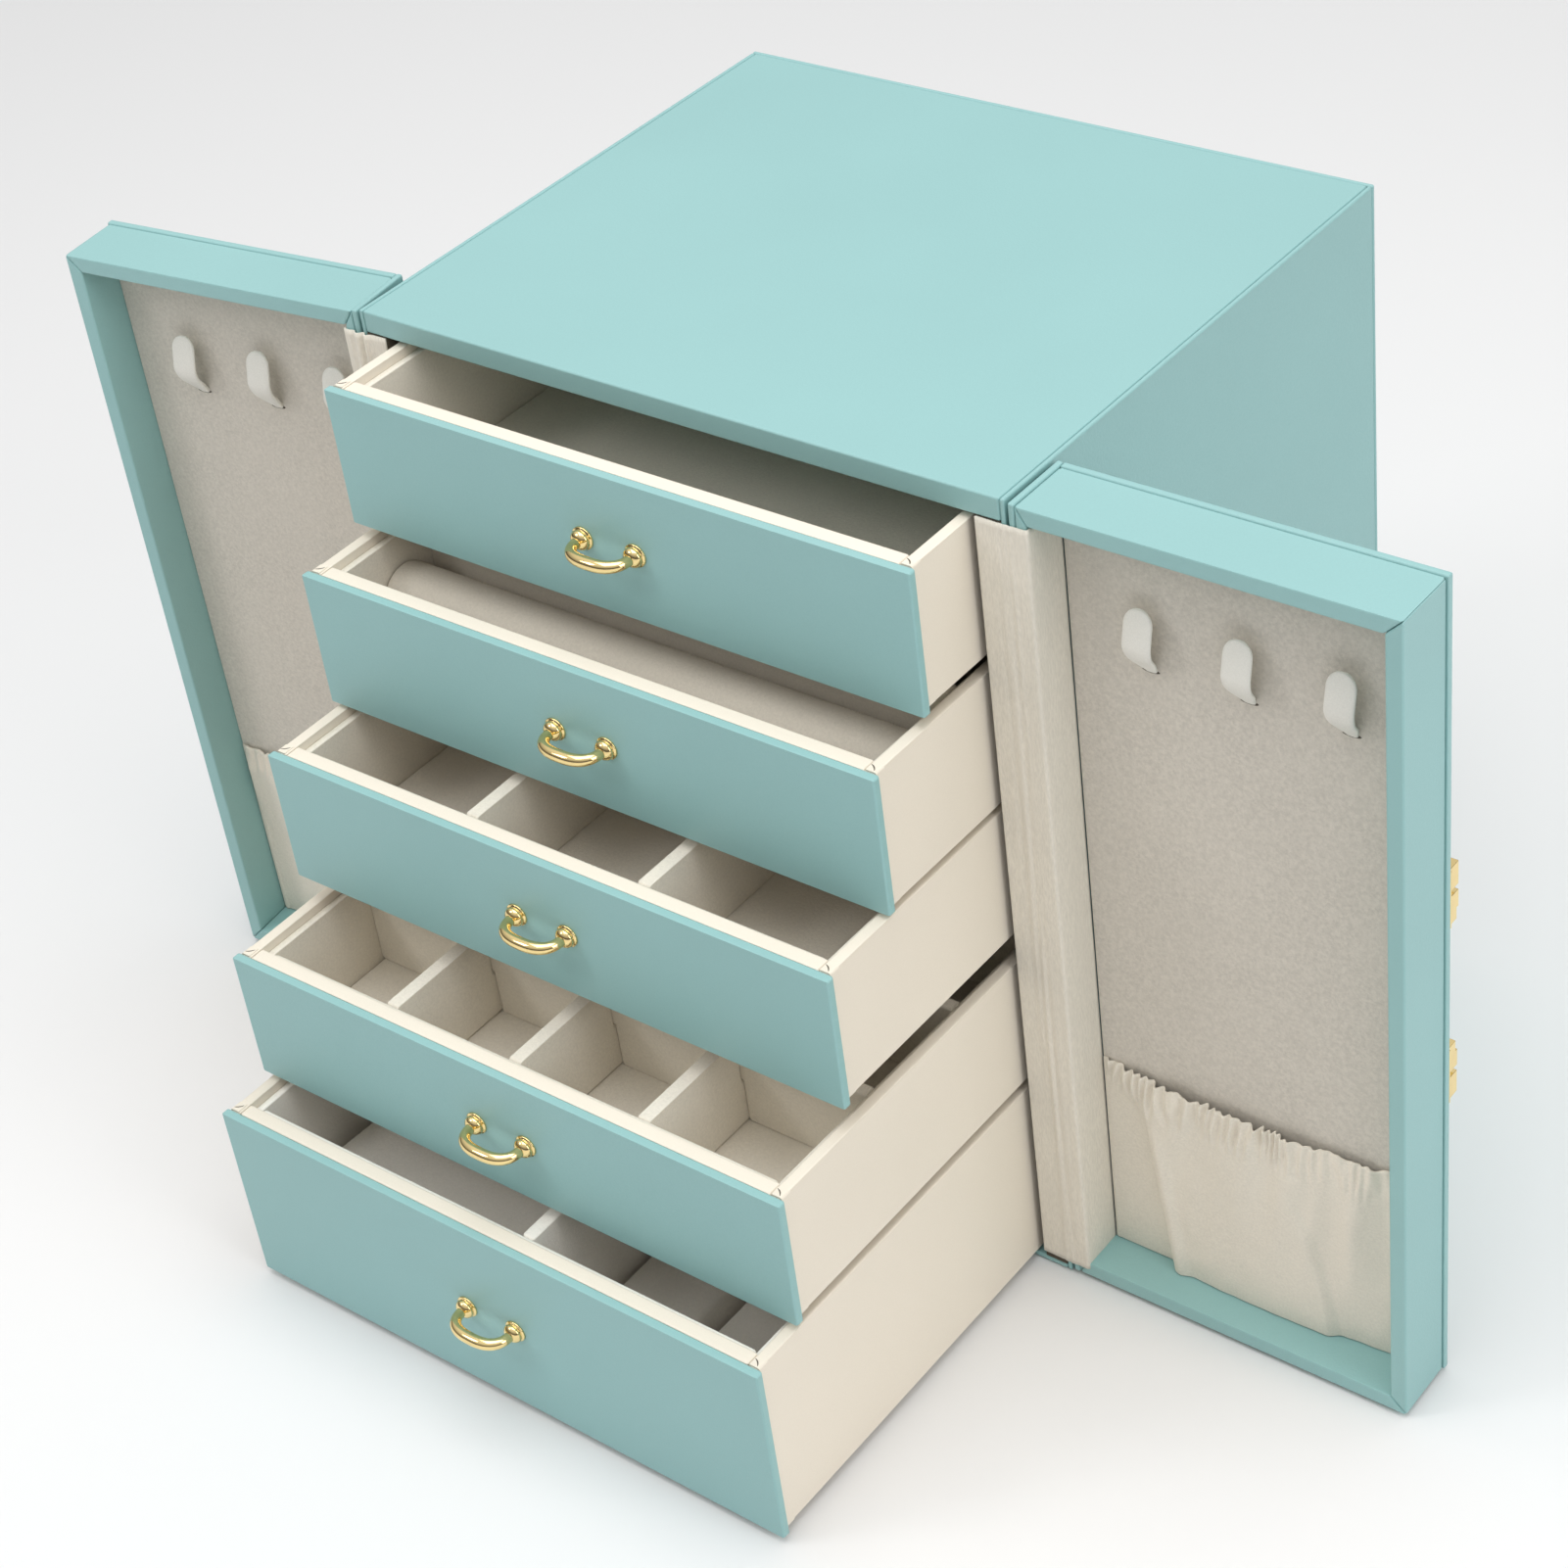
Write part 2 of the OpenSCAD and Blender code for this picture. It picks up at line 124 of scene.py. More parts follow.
def make_light():
    world = bpy.data.worlds.new("studio")
    bpy.context.scene.world = world
    world.use_nodes = True
    tree = world.node_tree
    background = tree.nodes["Background"]
    background.inputs["Color"].default_value = (1.0, 1.0, 1.0, 1.0)
    # the studio is brighter overhead than near the horizon
    direction = tree.nodes.new("ShaderNodeTexCoord")
    parts = tree.nodes.new("ShaderNodeSeparateXYZ")
    rise = tree.nodes.new("ShaderNodeMapRange")
    rise.inputs["From Min"].default_value = SKY_LOW_HEIGHT
    rise.inputs["From Max"].default_value = SKY_HIGH_HEIGHT
    rise.inputs["To Min"].default_value = SKY_LOW
    rise.inputs["To Max"].default_value = SKY_HIGH
    tree.links.new(direction.outputs["Generated"], parts.inputs[0])
    tree.links.new(parts.outputs["Z"], rise.inputs["Value"])
    tree.links.new(rise.outputs["Result"], background.inputs["Strength"])
    for settings in AREA_LIGHTS:
        area_light(*settings)
    bpy.context.scene.view_settings.view_transform = "Standard"


def make_floor():
    mesh = bpy.data.meshes.new("floor")
    corners = [(x * FLOOR_HALF, y * FLOOR_HALF, 0) for x, y in ((-1, -1), (1, -1), (1, 1), (-1, 1))]
    mesh.from_pydata(corners, [], [(0, 1, 2, 3)])
    floor = bpy.data.objects.new("floor", mesh)
    bpy.context.scene.collection.objects.link(floor)
    floor.location.z = -FLOOR_DROP
    paint = bpy.data.materials.new("pale_floor")
    paint.use_nodes = True
    shader = paint.node_tree.nodes["Principled BSDF"]
    shader.inputs["Base Color"].default_value = FLOOR_COLOUR
    shader.inputs["Roughness"].default_value = FLOOR_ROUGHNESS
    mesh.materials.append(paint)


# ---------------------------------------------------------------- materials

class Paint:
    """A node material built up step by step from object coordinates in millimetres."""

    def __init__(self, name, roughness, metallic=0.0, specular=0.5):
        self.material = bpy.data.materials.new(name)
        self.material.use_nodes = True
        self.tree = self.material.node_tree
        self.shader = self.tree.nodes["Principled BSDF"]
        self.shader.inputs["Metallic"].default_value = metallic
        self.shader.inputs["Roughness"].default_value = roughness
        self.shader.inputs["Specular IOR Level"].default_value = specular
        place = self.tree.nodes.new("ShaderNodeTexCoord")
        scale = self.tree.nodes.new("ShaderNodeVectorMath")
        scale.operation = "SCALE"
        scale.inputs["Scale"].default_value = 1.0 / MM
        self.tree.links.new(place.outputs["Object"], scale.inputs[0])
        self.place = scale.outputs["Vector"]
        self.height = None

    def node(self, kind, settings=None, **inputs):
        new = self.tree.nodes.new(kind)
        for key, value in (settings or {}).items():
            setattr(new, key, value)
        for key, value in inputs.items():
            socket = new.inputs[key.replace("_", " ")]
            if isinstance(value, bpy.types.NodeSocket):
                self.tree.links.new(value, socket)
            else:
                socket.default_value = value
        return new

    def noise(self, size, detail=2.0, roughness=0.5, distortion=0.0, stretch=None):
        """Noise with features about size millimetres across, from 0 to 1."""
        place = self.place
        if stretch:
            place = self.node("ShaderNodeMapping", Vector=place, Scale=stretch).outputs["Vector"]
        return self.node("ShaderNodeTexNoise", Vector=place, Scale=1.0 / size, Detail=detail,
                         Roughness=roughness, Distortion=distortion).outputs["Fac"]

    def cells(self, size, feature="F1"):
        return self.node("ShaderNodeTexVoronoi", {"feature": feature}, Vector=self.place,
                         Scale=1.0 / size).outputs["Distance"]

    def spread(self, value, low, high, to_low=0.0, to_high=1.0):
        """Stretches the part of value between low and high over to_low..to_high."""
        return self.node("ShaderNodeMapRange", Value=value, From_Min=low, From_Max=high,
                         To_Min=to_low, To_Max=to_high).outputs["Result"]

    def mix(self, factor, first, second):
        new = self.tree.nodes.new("ShaderNodeMix")
        new.data_type = "RGBA"
        for socket, value in ((new.inputs[0], factor), (new.inputs[6], first), (new.inputs[7], second)):
            if isinstance(value, bpy.types.NodeSocket):
                self.tree.links.new(value, socket)
            else:
                socket.default_value = value
        return new.outputs[2]

    def add(self, first, second, share):
        """first + share * second, for heights."""
        scaled = self.node("ShaderNodeMath", {"operation": "MULTIPLY"})
        self.tree.links.new(second, scaled.inputs[0])
        scaled.inputs[1].default_value = share
        total = self.node("ShaderNodeMath", {"operation": "ADD"})
        self.tree.links.new(first, total.inputs[0])
        self.tree.links.new(scaled.outputs[0], total.inputs[1])
        return total.outputs[0]

    def colour(self, socket):
        self.tree.links.new(socket, self.shader.inputs["Base Color"])

    def roughness(self, socket):
        self.tree.links.new(socket, self.shader.inputs["Roughness"])

    def bump(self, height, depth):
        """depth is the height in millimetres that a value of 1 stands for."""
        new = self.node("ShaderNodeBump", Height=height, Strength=1.0, Distance=depth * MM)
        self.tree.links.new(new.outputs["Normal"], self.shader.inputs["Normal"])

    def sheen(self, weight, roughness, tint):
        self.shader.inputs["Sheen Weight"].default_value = weight
        self.shader.inputs["Sheen Roughness"].default_value = roughness
        self.shader.inputs["Sheen Tint"].default_value = tint

    def coat(self, weight, roughness):
        self.shader.inputs["Coat Weight"].default_value = weight
        self.shader.inputs["Coat Roughness"].default_value = roughness


def shade(colour, factor):
    return tuple(min(1.0, channel * factor) for channel in colour[:3]) + (1.0,)


def leather(name, base, grain=0.9, depth=0.035, gloss=0.42):
    """Synthetic leather: fine pebbled grain, slight clouding of the colour, satin coat."""
    paint = Paint(name, gloss, specular=0.42)
    clouds = paint.noise(70.0, detail=2.0)
    pores = paint.noise(grain * 0.55, detail=2.0, roughness=0.6)
    pebbles = paint.cells(grain, "SMOOTH_F1")
    tone = paint.mix(paint.spread(clouds, 0.3, 0.7), shade(base, 0.985), shade(base, 1.015))
    tone = paint.mix(paint.spread(pores, 0.35, 0.75, 0.0, 0.2), tone, shade(base, 0.86))
    paint.colour(tone)
    paint.roughness(paint.spread(pores, 0.3, 0.7, gloss - 0.05, gloss + 0.08))
    paint.bump(paint.add(pebbles, pores, 0.8), depth)
    paint.coat(0.08, 0.45)
    return paint.material


def suede(name, base, nap=1.15, depth=0.16, mottle=0.12):
    """Faux suede: short pebbled nap with a soft sheen and rubbed lighter patches."""
    paint = Paint(name, 0.93, specular=0.16)
    tufts = paint.noise(nap, detail=3.0, roughness=0.62, distortion=0.35)
    fibres = paint.noise(nap * 0.22, detail=2.0)
    rubbed = paint.noise(26.0, detail=4.0, roughness=0.6)
    dark, light = shade(base, 1.0 - mottle), shade(base, 1.0 + mottle * 0.7)
    tone = paint.mix(paint.spread(tufts, 0.32, 0.68), dark, light)
    tone = paint.mix(paint.spread(rubbed, 0.4, 0.75, 0.0, 0.35), tone, shade(base, 1.07))
    tone = paint.mix(paint.spread(fibres, 0.45, 0.8, 0.0, 0.3), tone, shade(base, 0.85))
    paint.colour(tone)
    paint.roughness(paint.spread(rubbed, 0.3, 0.7, 0.88, 0.97))
    paint.bump(paint.add(tufts, fibres, 0.35), depth)
    paint.sheen(0.18, 0.5, (1.0, 0.97, 0.92, 1.0))
    return paint.material


def ribbon_cloth(name, base):
    """Short-pile velvet ribbon: fine fibres that run along the height, with a soft crushed look."""
    paint = Paint(name, 0.9, specular=0.15)
    fibres = paint.noise(0.5, detail=3.0, roughness=0.6, stretch=(1.0, 1.0, 0.22))
    crushed = paint.noise(9.0, detail=3.0, stretch=(1.0, 1.0, 0.35))
    tone = paint.mix(paint.spread(fibres, 0.3, 0.7), shade(base, 0.9), shade(base, 1.06))
    tone = paint.mix(paint.spread(crushed, 0.4, 0.7, 0.0, 0.4), tone, shade(base, 0.92))
    paint.colour(tone)
    paint.roughness(paint.spread(crushed, 0.3, 0.7, 0.84, 0.95))
    paint.bump(paint.add(fibres, crushed, 0.4), 0.1)
    paint.sheen(0.25, 0.45, (1.0, 0.98, 0.94, 1.0))
    return paint.material


def pocket_cloth(name, base):
    """Brushed cloth of the pockets: soft nap with a faint weave."""
    paint = Paint(name, 0.88, specular=0.18)
    nap = paint.noise(0.8, detail=3.0, roughness=0.6, distortion=0.2)
    patches = paint.noise(14.0, detail=3.0)
    tone = paint.mix(paint.spread(nap, 0.3, 0.7), shade(base, 0.93), shade(base, 1.05))
    tone = paint.mix(paint.spread(patches, 0.4, 0.7, 0.0, 0.4), tone, shade(base, 1.04))
    paint.colour(tone)
    paint.roughness(paint.spread(patches, 0.3, 0.7, 0.82, 0.93))
    paint.bump(nap, 0.08)
    paint.sheen(0.2, 0.45, (1.0, 0.98, 0.94, 1.0))
    return paint.material


def gold_plate(name, base):
    """Polished, plated castings: a faint casting wave under the polish and fine wipe marks."""
    paint = Paint(name, 0.1, metallic=1.0)
    waves = paint.noise(5.0, detail=1.0)
    wipes = paint.noise(0.8, detail=2.0, stretch=(0.3, 1.0, 1.0))
    paint.colour(paint.mix(paint.spread(waves, 0.3, 0.7), shade(base, 0.96), shade(base, 1.04)))
    paint.roughness(paint.spread(wipes, 0.3, 0.75, 0.06, 0.1))
    paint.bump(waves, 0.004)
    return paint.material


def dark_board(name, base):
    """Fibreboard with a dark cloth face, seen only in the gaps; the corner tucks and hook slits also use it as
    painted shadow.
    """
    paint = Paint(name, 0.85, specular=0.2)
    flecks = paint.noise(0.7, detail=3.0, roughness=0.65)
    paint.colour(paint.mix(paint.spread(flecks, 0.3, 0.7), shade(base, 0.8), shade(base, 1.2)))
    paint.roughness(paint.spread(flecks, 0.3, 0.7, 0.78, 0.92))
    paint.bump(flecks, 0.05)
    return paint.material


TEAL = (0.297, 0.52, 0.515)
CREAM = (0.84, 0.765, 0.65)
GREIGE = (0.65, 0.605, 0.535)
PALE_SUEDE = (0.80, 0.745, 0.645)
# lighter copy of the drawer suede for drawer 5 and its pads: painted light against the shade that drawer 4 casts
# into drawer 5
PAINTED_LIGHT_SUEDE = (0.93, 0.895, 0.82)
ROLL_GREIGE = (0.66, 0.61, 0.525)
VELVET = (0.79, 0.74, 0.645)
POCKET = (0.80, 0.745, 0.645)
FLOCK = (0.80, 0.78, 0.72)
GOLD = (0.90, 0.70, 0.33)
BOARD = (0.10, 0.085, 0.065)
FINE_NAP = {"nap": 0.9, "depth": 0.1}      # the short suede in the drawers

MATERIALS = {
    "teal_leather": leather("teal_leather", TEAL),
    "cream_leather": leather("cream_leather", CREAM, grain=0.8, depth=0.02, gloss=0.5),
    "suede": suede("suede", GREIGE),
    # drawer 5's pads take the lighter suede: painted light
    "suede_padding": suede("suede_padding", PAINTED_LIGHT_SUEDE, mottle=0.05, **FINE_NAP),
    "hinge_velvet": ribbon_cloth("hinge_velvet", VELVET),
    "pocket_satin": pocket_cloth("pocket_satin", POCKET),
    "hook_flock": suede("hook_flock", FLOCK, nap=0.5, depth=0.04, mottle=0.05),
    "brass": gold_plate("brass", GOLD),
    "board": dark_board("board", BOARD),
}
SLOT_OF = {part["node"]: part["material_slot"] for part in frame["record"]["subparts"]}
DRAWER_SUEDE = suede("drawer_suede", PALE_SUEDE, mottle=0.07, **FINE_NAP)
# drawer 5's lining: the lighter copy of the drawer suede, painted light
DRAWER_5_PAINTED_LIGHT_SUEDE = suede("deep_drawer_suede", PAINTED_LIGHT_SUEDE, mottle=0.05, **FINE_NAP)
ROLL_SUEDE = suede("roll_suede", ROLL_GREIGE, mottle=0.07, **FINE_NAP)


# ---------------------------------------------------------------- CAD nodes that stay

# Edge radii by material, in millimetres
DRAWER_SUEDE_RADIUS = 1.1
PLAIN_RADIUS = 0.3
EDGE_RADIUS = {"teal_leather": 0.75, "cream_leather": 0.8, "suede": 0.6}
# Thickness of the nodes that are too thin for their material's radius, and the share of it to use
THIN_SHARE = 0.42
THIN = {"left_side_cover": 1.6, "right_side_cover": 1.6, "back_cover": 1.6}
THIN.update({f"shelf_{k}": 1.6 for k in (1, 2, 3, 4)})
THIN.update({f"{side}_clasp_plates": 0.7 for side in SIDES})
THIN.update({f"{side}_door_lining": 1.2 for side in SIDES})
WELD_DISTANCE = 0.004
BEVEL_ANGLE = 40      # degrees; flatter edges stay as they are


def finish_cad_node(name):
    """Gives a CAD node its material and the rounded edges of a wrapped board."""
    node = NODES[name]
    slot = SLOT_OF[name]
    node.data.materials.clear()
    in_drawer = slot == "suede" and name.startswith("drawer")
    # drawer 5 takes the lighter copy of the suede: painted light for the shade under drawer 4
    drawer_suede = DRAWER_5_PAINTED_LIGHT_SUEDE if name.startswith("drawer_5") else DRAWER_SUEDE
    node.data.materials.append(drawer_suede if in_drawer else MATERIALS[slot])
    radius = DRAWER_SUEDE_RADIUS if in_drawer else EDGE_RADIUS.get(slot, PLAIN_RADIUS)
    if name in THIN:
        radius = min(radius, THIN_SHARE * THIN[name])
    weld = node.modifiers.new("weld", "WELD")
    weld.merge_threshold = WELD_DISTANCE * MM
    bevel = node.modifiers.new("bevel", "BEVEL")
    bevel.width = radius * MM
    bevel.segments = 3
    bevel.limit_method = "ANGLE"
    bevel.angle_limit = math.radians(BEVEL_ANGLE)
    bevel.harden_normals = True
    bevel.use_clamp_overlap = True


# ---------------------------------------------------------------- mesh helpers

def mesh_piece(name, vertices, faces, slot, smooth=True):
    """A new object from millimetre points; its material is the slot's."""
    mesh = bpy.data.meshes.new(name)
    mesh.from_pydata([Vector(v) * MM for v in vertices], [], faces)
    mesh.validate()
    piece = bpy.data.objects.new(name, mesh)
    bpy.context.scene.collection.objects.link(piece)
    mesh.materials.append(MATERIALS[slot])
    for face in mesh.polygons:
        face.use_smooth = smooth
    tidy = bmesh.new()
    tidy.from_mesh(mesh)
    bmesh.ops.recalc_face_normals(tidy, faces=tidy.faces)
    tidy.to_mesh(mesh)
    tidy.free()
    return piece


def apply_modifiers(piece):
    """Keeps the shape that the piece's modifiers make and removes them."""
    depsgraph = bpy.context.evaluated_depsgraph_get()
    shaped = bpy.data.meshes.new_from_object(piece.evaluated_get(depsgraph))
    old = piece.data
    piece.modifiers.clear()
    piece.data = shaped
    bpy.data.meshes.remove(old)


def grid_faces(rows, columns, offset=0, close=False):
    """Quads between rows of points; close joins the last column to the first."""
    faces = []
    last = columns if close else columns - 1
    for row in range(rows - 1):
        for column in range(last):
            following = (column + 1) % columns
            faces.append((offset + row * columns + column, offset + row * columns + following,
                          offset + (row + 1) * columns + following, offset + (row + 1) * columns + column))
    return faces


def squared(value, power):
    """value to a power with its sign kept: turns a circle's sine and cosine into a squarer outline."""
    return math.copysign(abs(value) ** power, value)


def mound(distance, width):
    """A smooth bump that is 1 where distance is 0 and fades over width."""
    return math.exp(-(distance / width) ** 2)


def capped(rings, sides):
    """Faces of a closed run of rings with a flat end on each."""
    faces = grid_faces(rings, sides, close=True)
    faces.append(tuple(range(sides)))
    faces.append(tuple((rings - 1) * sides + turn for turn in range(sides)))
    return faces


def plate_faces(count):
    """Faces of a flat plate whose rim has count points, above and then below."""
    faces = [tuple(range(count)), tuple(range(2 * count - 1, count - 1, -1))]
    faces += [(a, (a + 1) % count, count + (a + 1) % count, count + a) for a in range(count)]
    return faces


def smoothstep(value, low, high):
    """0 below low, 1 above high, and a smooth rise between them."""
    share = min(1.0, max(0.0, (value - low) / (high - low)))
    return share * share * (3.0 - 2.0 * share)


def tube(path, radii, sides, side_axis):
    """Points and faces of a closed round bar along path; its rings are laid out from side_axis."""
    vertices = []
    for index, centre in enumerate(path):
        before = path[max(index - 1, 0)]
        after = path[min(index + 1, len(path) - 1)]
        along = (after - before).normalized()
        across = side_axis - along * side_axis.dot(along)
        across.normalize()
        over = along.cross(across)
        for turn in range(sides):
            angle = 2.0 * math.pi * turn / sides
            vertices.append(centre + over * (math.cos(angle) * radii[index])
                            + across * (math.sin(angle) * radii[index]))
    return vertices, capped(len(path), sides)


def lathe(profile, centre, sides):
    """Points and faces of a turned shape whose axis runs along -Y from centre.
    profile holds (distance out, radius) pairs."""
    vertices = []
    for out, radius in profile:
        for turn in range(sides):
            angle = 2.0 * math.pi * turn / sides
            vertices.append(centre + Vector((math.cos(angle) * radius, -out, math.sin(angle) * radius)))
    return vertices, capped(len(profile), sides)


def joined(parts):
    """Several (vertices, faces) shapes as one list of each."""
    vertices, faces = [], []
    for points, loops in parts:
        start = len(vertices)
        vertices.extend(points)
        faces.extend(tuple(start + index for index in loop) for loop in loops)
    return vertices, faces


# ---------------------------------------------------------------- handles

# (distance out from the drawer's front, radius): a thin flange, a groove and a dome
FOOT_PROFILE = [(0.0, 3.9), (0.12, 4.0), (0.55, 4.0), (0.72, 3.8), (0.8, 3.35), (1.0, 3.2), (1.2, 3.4),
                (1.6, 3.5), (2.2, 3.3), (2.8, 2.85), (3.2, 2.35), (3.5, 1.7), (3.6, 0.6)]
BAR_START = 2.6       # where the bar's middle line starts, in front of the drawer
BAR_OUT = 7.85        # how much further out it is halfway
BAR_RADIUS = (1.75, 2.1)    # at the feet and halfway
BAR_SQUARENESS = 0.78       # 1 is a half ellipse; less has tighter elbows
BAR_STEPS, BAR_SIDES, FOOT_SIDES = 56, 24, 32


def make_handle(k):
    """Cast bow handle: flanged feet with domes and a bar that swells towards its middle."""
    node = f"drawer_{k}_handle"
    low, high = mm_box(node)
    front_low, front_high = mm_box(f"drawer_{k}_front")
    centre = Vector(((low.x + high.x) / 2, front_low.y, (front_low.z + front_high.z) / 2))
    half_pitch = (high.x - low.x) / 2 - FOOT_PROFILE[1][1]
    parts = []
    for side in (-1, 1):
        parts.append(lathe(FOOT_PROFILE, centre + Vector((side * half_pitch, 0, 0)), FOOT_SIDES))
    path, radii = [], []
    for step in range(BAR_STEPS + 1):
        angle = math.pi * step / BAR_STEPS
        share = squared(math.cos(angle), BAR_SQUARENESS)
        rise = math.sin(angle) ** BAR_SQUARENESS
        path.append(centre + Vector((-share * half_pitch, -BAR_START - BAR_OUT * rise, 0)))
        radii.append(BAR_RADIUS[0] + (BAR_RADIUS[1] - BAR_RADIUS[0]) * rise ** 2)
    parts.append(tube(path, radii, BAR_SIDES, Vector((0, 0, 1))))
    piece = mesh_piece(f"drawer_{k}_bow_handle", *joined(parts), "brass")
    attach(piece, f"drawer_{k}")
    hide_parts(node)


# ---------------------------------------------------------------- leather turned over the drawer corners, and a painted shadow where it is tucked under

WRAP_SKIN = 0.3       # how far the leather stands proud of the box
WRAP_REACH = 4.4      # how far back from the front it runs
WRAP_TURN_IN = 3.4    # and how far in over the box's edge
WRAP_RADIUS = 0.9
WRAP_DEPTH = 0.6      # how far its inner face lies inside the box
WRAP_FOOT = 0.4       # it starts this far above the box's underside
WRAP_START = 0.15     # and this far behind the box's front
WRAP_BEVEL = (0.25, 0.3)    # length and depth of the bevel at its back edge
WRAP_ARC_STEPS = 4


def make_corner_wrap(k, name):
    """Leather turned over one front corner of a drawer's box."""
    side = SIDES[name]
    low, high = mm_box(f"drawer_{k}_box")
    outer = high.x if side > 0 else low.x
    profile = [(outer + side * WRAP_SKIN, low.z + WRAP_FOOT)]
    for step in range(WRAP_ARC_STEPS + 1):
        angle = math.pi / 2 * step / WRAP_ARC_STEPS
        profile.append((outer + side * (WRAP_SKIN - WRAP_RADIUS + WRAP_RADIUS * math.cos(angle)),
                        high.z + WRAP_SKIN - WRAP_RADIUS + WRAP_RADIUS * math.sin(angle)))
    profile.append((outer - side * WRAP_TURN_IN, high.z + WRAP_SKIN))
    bend_z = high.z - WRAP_RADIUS
    inner = [(x, z - WRAP_DEPTH) if z >= bend_z else (x - side * WRAP_DEPTH, z) for x, z in profile]
    inner[0] = (profile[0][0] - side * WRAP_DEPTH, low.z + WRAP_FOOT)
    loop = profile + inner[::-1]
    back = low.y + WRAP_REACH
    length, depth = WRAP_BEVEL
    vertices = []
    for y, pull in ((low.y + WRAP_START, 0.0), (back - length, 0.0), (back, depth)):
        for index, (x, z) in enumerate(loop):
            pulled = pull if index < len(profile) else 0.0
            pull_x = pulled if z < high.z - WRAP_BEVEL[1] else 0.0
            pull_z = pulled if z >= bend_z else 0.0
            vertices.append((x - side * pull_x, y, z - pull_z))
    faces = capped(3, len(loop))
    piece = mesh_piece(f"drawer_{k}_{name}_corner_wrap", vertices, faces, "cream_leather", smooth=False)
    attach(piece, f"drawer_{k}")


# the painted shadow at the tuck: a dark plate's place, size, bow, lift, thickness, direction and rim points
TUCK_PLACE = (1.9, 2.1)     # in from the box's side, back from its front
TUCK_HALF = (1.7, 0.22)     # half length and half width
TUCK_BOW = 0.35
TUCK_LIFT, TUCK_DEPTH = 0.03, 0.1
TUCK_AIM = (0.75, -0.66)
TUCK_POINTS = 14


def make_tuck_shadow_plate(k, name):
    """Painted shadow: a small, thin dark plate on the leather, where it is tucked under at the corner."""
    side = SIDES[name]
    low, high = mm_box(f"drawer_{k}_box")
    outer = high.x if side > 0 else low.x
    middle = Vector((outer - side * TUCK_PLACE[0], low.y + TUCK_PLACE[1], high.z + WRAP_SKIN + TUCK_LIFT))
    along = Vector((side * TUCK_AIM[0], TUCK_AIM[1], 0)).normalized()
    across = Vector((-along.y, along.x, 0))
    rim = []
    for step in range(TUCK_POINTS):
        angle = 2 * math.pi * step / TUCK_POINTS
        sideways = TUCK_HALF[1] * math.sin(angle) - TUCK_BOW * math.cos(angle) ** 2
        rim.append(middle + along * (TUCK_HALF[0] * math.cos(angle)) + across * sideways)
    under = [point - Vector((0, 0, TUCK_DEPTH)) for point in rim]
    tuck = mesh_piece(f"drawer_{k}_{name}_corner_tuck", rim + under, plate_faces(TUCK_POINTS), "board",
                      smooth=False)
    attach(tuck, f"drawer_{k}")


# ---------------------------------------------------------------- padded pieces

def box_mesh(low, high, cuts=6):
    """A box as a grid of quads, for remeshing."""
    shape = bmesh.new()
    bmesh.ops.create_cube(shape, size=1.0)
    bmesh.ops.subdivide_edges(shape, edges=shape.edges[:], cuts=cuts, use_grid_fill=True)
    size = Vector(high) - Vector(low)
    middle = (Vector(high) + Vector(low)) / 2
    for vertex in shape.verts:
        vertex.co = Vector((vertex.co.x * size.x, vertex.co.y * size.y, vertex.co.z * size.z)) + middle
    vertices = [vertex.co.copy() for vertex in shape.verts]
    faces = [tuple(vertex.index for vertex in face.verts) for face in shape.faces]
    shape.free()
    return vertices, faces


PUFF_FRAMES = 20
CLOTH_TENSION, CLOTH_BENDING = 25.0, 2.0


def puff(piece, voxel, pressure, most, keep_low, keep_high):
    """Blows a closed shape up as cloth, holds it inside its room, and smooths it.
    most is how far a point may move; keep_low and keep_high are the room's corners.
    A voxel of 0 keeps the shape's own mesh."""
    if voxel:
        remesh = piece.modifiers.new("remesh", "REMESH")
        remesh.mode = "VOXEL"
        remesh.voxel_size = voxel * MM
        remesh.use_smooth_shade = True
        apply_modifiers(piece)
    start = np.array([vertex.co for vertex in piece.data.vertices]) / MM
    cloth = piece.modifiers.new("cloth", "CLOTH")
    cloth.settings.use_pressure = True
    cloth.settings.uniform_pressure_force = pressure
    cloth.settings.effector_weights.gravity = 0.0
    cloth.settings.tension_stiffness = CLOTH_TENSION
    cloth.settings.bending_stiffness = CLOTH_BENDING
    cloth.point_cache.frame_start = 1
    cloth.point_cache.frame_end = PUFF_FRAMES
    for step in range(1, PUFF_FRAMES + 1):
        bpy.context.scene.frame_set(step)
    apply_modifiers(piece)
    bpy.context.scene.frame_set(1)
    moved = np.array([vertex.co for vertex in piece.data.vertices]) / MM
    shift = moved - start
    length = np.linalg.norm(shift, axis=1, keepdims=True)
    shift *= np.minimum(1.0, most / np.maximum(length, 1e-9))
    points = np.clip(start + shift, np.array(keep_low), np.array(keep_high))
    for vertex, point in zip(piece.data.vertices, points):
        vertex.co = Vector(point) * MM
    smooth = piece.modifiers.new("subdivision", "SUBSURF")
    smooth.levels = smooth.render_levels = 1
    apply_modifiers(piece)
    for face in piece.data.polygons:
        face.use_smooth = True


PAD_INSET_LOW = Vector((1.6, 1.6, 0.8))     # how much smaller than its room a pad starts
PAD_INSET_HIGH = Vector((1.6, 1.6, 2.24))
PAD_VOXEL = 4.5
PAD_PRESSURE = 4.0
PAD_MOST = 5.0        # the furthest a point may move


def make_pad(name, low, high, body, node_list):
    """A foam pad in suede: starts a little smaller than its room and swells into it."""
    low, high = Vector(low), Vector(high)
    start_low = low + PAD_INSET_LOW
    start_high = high - PAD_INSET_HIGH
    piece = mesh_piece(name, *box_mesh(start_low, start_high), "suede_padding")
    puff(piece, PAD_VOXEL, PAD_PRESSURE, PAD_MOST, low, high)
    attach(piece, body)
    if node_list:
        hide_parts(*node_list)
    return piece


PAD_SPLIT = 54.0      # where the two narrow cushions meet, right of the middle
PAD_GAP = 0.6         # between them


